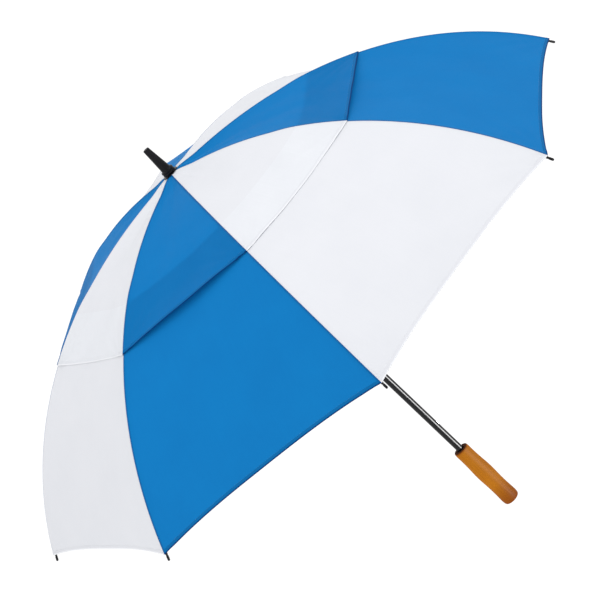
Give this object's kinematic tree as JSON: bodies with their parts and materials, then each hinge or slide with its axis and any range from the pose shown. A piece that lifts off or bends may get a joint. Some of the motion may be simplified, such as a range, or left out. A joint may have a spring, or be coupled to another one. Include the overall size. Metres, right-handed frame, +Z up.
{
  "type": "golf umbrella",
  "caption": "Open golf umbrella with a vented two-layer canopy of blue and white panels, folding ribs and struts, a sliding runner, and a straight turned handle.",
  "frame": {"origin": "centre of the flat end of the handle", "axes": "+Z up the shaft to the ferrule, +X under rib 1, the other ribs follow every 45 degrees towards +Y"},
  "size_m": [1.3072, 1.3072, 0.968],
  "materials": {
    "shaft_enamel": "gloss",
    "strut_enamel": "satin",
    "handle_wood": "gloss",
    "black_plastic": "satin",
    "rib_fibreglass": "satin",
    "bright_steel": "satin",
    "white_fabric": "satin",
    "blue_fabric": "satin"
  },
  "bodies": {
    "root": {"shaft": "shaft_enamel", "handle": "handle_wood", "ferrule": "black_plastic", "top_washer": "black_plastic", "top_notch": "black_plastic", "notch_wire": "bright_steel", "runner_stop": "bright_steel", "canopy_lower": "white_fabric", "canopy_vent": "blue_fabric"},
    "runner": {"runner": "black_plastic"},
    "open_catch": {"open_catch": "bright_steel"},
    "closed_catch": {"closed_catch": "bright_steel"},
    "rib_1": {"rib_inner_1": "rib_fibreglass", "rib_joint_1": "black_plastic"},
    "rib_end_1": {"rib_outer_1": "rib_fibreglass", "rib_tip_1": "black_plastic"},
    "strut_1": {"strut_1": "strut_enamel"},
    "rib_2": {"rib_inner_2": "rib_fibreglass", "rib_joint_2": "black_plastic"},
    "rib_end_2": {"rib_outer_2": "rib_fibreglass", "rib_tip_2": "black_plastic"},
    "strut_2": {"strut_2": "strut_enamel"},
    "rib_3": {"rib_inner_3": "rib_fibreglass", "rib_joint_3": "black_plastic"},
    "rib_end_3": {"rib_outer_3": "rib_fibreglass", "rib_tip_3": "black_plastic"},
    "strut_3": {"strut_3": "strut_enamel"},
    "rib_4": {"rib_inner_4": "rib_fibreglass", "rib_joint_4": "black_plastic"},
    "rib_end_4": {"rib_outer_4": "rib_fibreglass", "rib_tip_4": "black_plastic"},
    "strut_4": {"strut_4": "strut_enamel"},
    "rib_5": {"rib_inner_5": "rib_fibreglass", "rib_joint_5": "black_plastic"},
    "rib_end_5": {"rib_outer_5": "rib_fibreglass", "rib_tip_5": "black_plastic"},
    "strut_5": {"strut_5": "strut_enamel"},
    "rib_6": {"rib_inner_6": "rib_fibreglass", "rib_joint_6": "black_plastic"},
    "rib_end_6": {"rib_outer_6": "rib_fibreglass", "rib_tip_6": "black_plastic"},
    "strut_6": {"strut_6": "strut_enamel"},
    "rib_7": {"rib_inner_7": "rib_fibreglass", "rib_joint_7": "black_plastic"},
    "rib_end_7": {"rib_outer_7": "rib_fibreglass", "rib_tip_7": "black_plastic"},
    "strut_7": {"strut_7": "strut_enamel"},
    "rib_8": {"rib_inner_8": "rib_fibreglass", "rib_joint_8": "black_plastic"},
    "rib_end_8": {"rib_outer_8": "rib_fibreglass", "rib_tip_8": "black_plastic"},
    "strut_8": {"strut_8": "strut_enamel"}
  },
  "joints": [
    {"name": "runner_slide", "type": "slide", "parent": "root", "child": "runner", "axis": [0, 0, 1], "range_m": [-0.5294, 0], "deforming": ["canopy_lower", "canopy_vent"]},
    {"name": "open_catch_press", "type": "hinge", "parent": "root", "child": "open_catch", "pos_m": [0.00397, 0.00165, 0.6476], "axis": [-0.3827, 0.9239, 0], "range_deg": [-7, 0], "stiffness_Nm_per_rad": 0.6},
    {"name": "closed_catch_press", "type": "hinge", "parent": "root", "child": "closed_catch", "pos_m": [0.00397, 0.00165, 0.1918], "axis": [-0.3827, 0.9239, 0], "range_deg": [-10.5, 0], "stiffness_Nm_per_rad": 0.6},
    {"name": "rib_1_fold", "type": "hinge", "parent": "root", "child": "rib_1", "pos_m": [0.014, 0, 0.89702], "axis": [0, 1, 0], "range_deg": [0, 74.7]},
    {"name": "rib_1_flex", "type": "hinge", "parent": "rib_1", "child": "rib_end_1", "pos_m": [0.36596, 0, 0.81608], "axis": [0, 1, 0], "range_deg": [-26.65, 0]},
    {"name": "strut_1_swing", "type": "hinge", "parent": "rib_1", "child": "strut_1", "pos_m": [0.35181, 0, 0.81396], "axis": [0, 1, 0], "range_deg": [-149.38, 0]},
    {"name": "rib_2_fold", "type": "hinge", "parent": "root", "child": "rib_2", "pos_m": [0.0099, 0.0099, 0.89702], "axis": [-0.7071, 0.7071, 0], "range_deg": [0, 74.7]},
    {"name": "rib_2_flex", "type": "hinge", "parent": "rib_2", "child": "rib_end_2", "pos_m": [0.25877, 0.25877, 0.81608], "axis": [-0.7071, 0.7071, 0], "range_deg": [-26.65, 0]},
    {"name": "strut_2_swing", "type": "hinge", "parent": "rib_2", "child": "strut_2", "pos_m": [0.24877, 0.24877, 0.81396], "axis": [-0.7071, 0.7071, 0], "range_deg": [-149.38, 0]},
    {"name": "rib_3_fold", "type": "hinge", "parent": "root", "child": "rib_3", "pos_m": [0, 0.014, 0.89702], "axis": [-1, 0, 0], "range_deg": [0, 74.7]},
    {"name": "rib_3_flex", "type": "hinge", "parent": "rib_3", "child": "rib_end_3", "pos_m": [0, 0.36596, 0.81608], "axis": [-1, 0, 0], "range_deg": [-26.65, 0]},
    {"name": "strut_3_swing", "type": "hinge", "parent": "rib_3", "child": "strut_3", "pos_m": [0, 0.35181, 0.81396], "axis": [-1, 0, 0], "range_deg": [-149.38, 0]},
    {"name": "rib_4_fold", "type": "hinge", "parent": "root", "child": "rib_4", "pos_m": [-0.0099, 0.0099, 0.89702], "axis": [-0.7071, -0.7071, 0], "range_deg": [0, 74.7]},
    {"name": "rib_4_flex", "type": "hinge", "parent": "rib_4", "child": "rib_end_4", "pos_m": [-0.25877, 0.25877, 0.81608], "axis": [-0.7071, -0.7071, 0], "range_deg": [-26.65, 0]},
    {"name": "strut_4_swing", "type": "hinge", "parent": "rib_4", "child": "strut_4", "pos_m": [-0.24877, 0.24877, 0.81396], "axis": [-0.7071, -0.7071, 0], "range_deg": [-149.38, 0]},
    {"name": "rib_5_fold", "type": "hinge", "parent": "root", "child": "rib_5", "pos_m": [-0.014, 0, 0.89702], "axis": [0, -1, 0], "range_deg": [0, 74.7]},
    {"name": "rib_5_flex", "type": "hinge", "parent": "rib_5", "child": "rib_end_5", "pos_m": [-0.36596, 0, 0.81608], "axis": [0, -1, 0], "range_deg": [-26.65, 0]},
    {"name": "strut_5_swing", "type": "hinge", "parent": "rib_5", "child": "strut_5", "pos_m": [-0.35181, 0, 0.81396], "axis": [0, -1, 0], "range_deg": [-149.38, 0]},
    {"name": "rib_6_fold", "type": "hinge", "parent": "root", "child": "rib_6", "pos_m": [-0.0099, -0.0099, 0.89702], "axis": [0.7071, -0.7071, 0], "range_deg": [0, 74.7]},
    {"name": "rib_6_flex", "type": "hinge", "parent": "rib_6", "child": "rib_end_6", "pos_m": [-0.25877, -0.25877, 0.81608], "axis": [0.7071, -0.7071, 0], "range_deg": [-26.65, 0]},
    {"name": "strut_6_swing", "type": "hinge", "parent": "rib_6", "child": "strut_6", "pos_m": [-0.24877, -0.24877, 0.81396], "axis": [0.7071, -0.7071, 0], "range_deg": [-149.38, 0]},
    {"name": "rib_7_fold", "type": "hinge", "parent": "root", "child": "rib_7", "pos_m": [0, -0.014, 0.89702], "axis": [1, 0, 0], "range_deg": [0, 74.7]},
    {"name": "rib_7_flex", "type": "hinge", "parent": "rib_7", "child": "rib_end_7", "pos_m": [0, -0.36596, 0.81608], "axis": [1, 0, 0], "range_deg": [-26.65, 0]},
    {"name": "strut_7_swing", "type": "hinge", "parent": "rib_7", "child": "strut_7", "pos_m": [0, -0.35181, 0.81396], "axis": [1, 0, 0], "range_deg": [-149.38, 0]},
    {"name": "rib_8_fold", "type": "hinge", "parent": "root", "child": "rib_8", "pos_m": [0.0099, -0.0099, 0.89702], "axis": [0.7071, 0.7071, 0], "range_deg": [0, 74.7]},
    {"name": "rib_8_flex", "type": "hinge", "parent": "rib_8", "child": "rib_end_8", "pos_m": [0.25877, -0.25877, 0.81608], "axis": [0.7071, 0.7071, 0], "range_deg": [-26.65, 0]},
    {"name": "strut_8_swing", "type": "hinge", "parent": "rib_8", "child": "strut_8", "pos_m": [0.24877, -0.24877, 0.81396], "axis": [0.7071, 0.7071, 0], "range_deg": [-149.38, 0]}
  ],
  "couplings": [
    {"joint": "rib_1_fold", "follows": "runner_slide", "rad_per_m": -2.4623},
    {"joint": "rib_1_flex", "follows": "runner_slide", "rad_per_m": 0.87827},
    {"joint": "strut_1_swing", "follows": "runner_slide", "rad_per_m": 4.9246},
    {"joint": "rib_2_fold", "follows": "runner_slide", "rad_per_m": -2.4623},
    {"joint": "rib_2_flex", "follows": "runner_slide", "rad_per_m": 0.87827},
    {"joint": "strut_2_swing", "follows": "runner_slide", "rad_per_m": 4.9246},
    {"joint": "rib_3_fold", "follows": "runner_slide", "rad_per_m": -2.4623},
    {"joint": "rib_3_flex", "follows": "runner_slide", "rad_per_m": 0.87827},
    {"joint": "strut_3_swing", "follows": "runner_slide", "rad_per_m": 4.9246},
    {"joint": "rib_4_fold", "follows": "runner_slide", "rad_per_m": -2.4623},
    {"joint": "rib_4_flex", "follows": "runner_slide", "rad_per_m": 0.87827},
    {"joint": "strut_4_swing", "follows": "runner_slide", "rad_per_m": 4.9246},
    {"joint": "rib_5_fold", "follows": "runner_slide", "rad_per_m": -2.4623},
    {"joint": "rib_5_flex", "follows": "runner_slide", "rad_per_m": 0.87827},
    {"joint": "strut_5_swing", "follows": "runner_slide", "rad_per_m": 4.9246},
    {"joint": "rib_6_fold", "follows": "runner_slide", "rad_per_m": -2.4623},
    {"joint": "rib_6_flex", "follows": "runner_slide", "rad_per_m": 0.87827},
    {"joint": "strut_6_swing", "follows": "runner_slide", "rad_per_m": 4.9246},
    {"joint": "rib_7_fold", "follows": "runner_slide", "rad_per_m": -2.4623},
    {"joint": "rib_7_flex", "follows": "runner_slide", "rad_per_m": 0.87827},
    {"joint": "strut_7_swing", "follows": "runner_slide", "rad_per_m": 4.9246},
    {"joint": "rib_8_fold", "follows": "runner_slide", "rad_per_m": -2.4623},
    {"joint": "rib_8_flex", "follows": "runner_slide", "rad_per_m": 0.87827},
    {"joint": "strut_8_swing", "follows": "runner_slide", "rad_per_m": 4.9246}
  ]
}
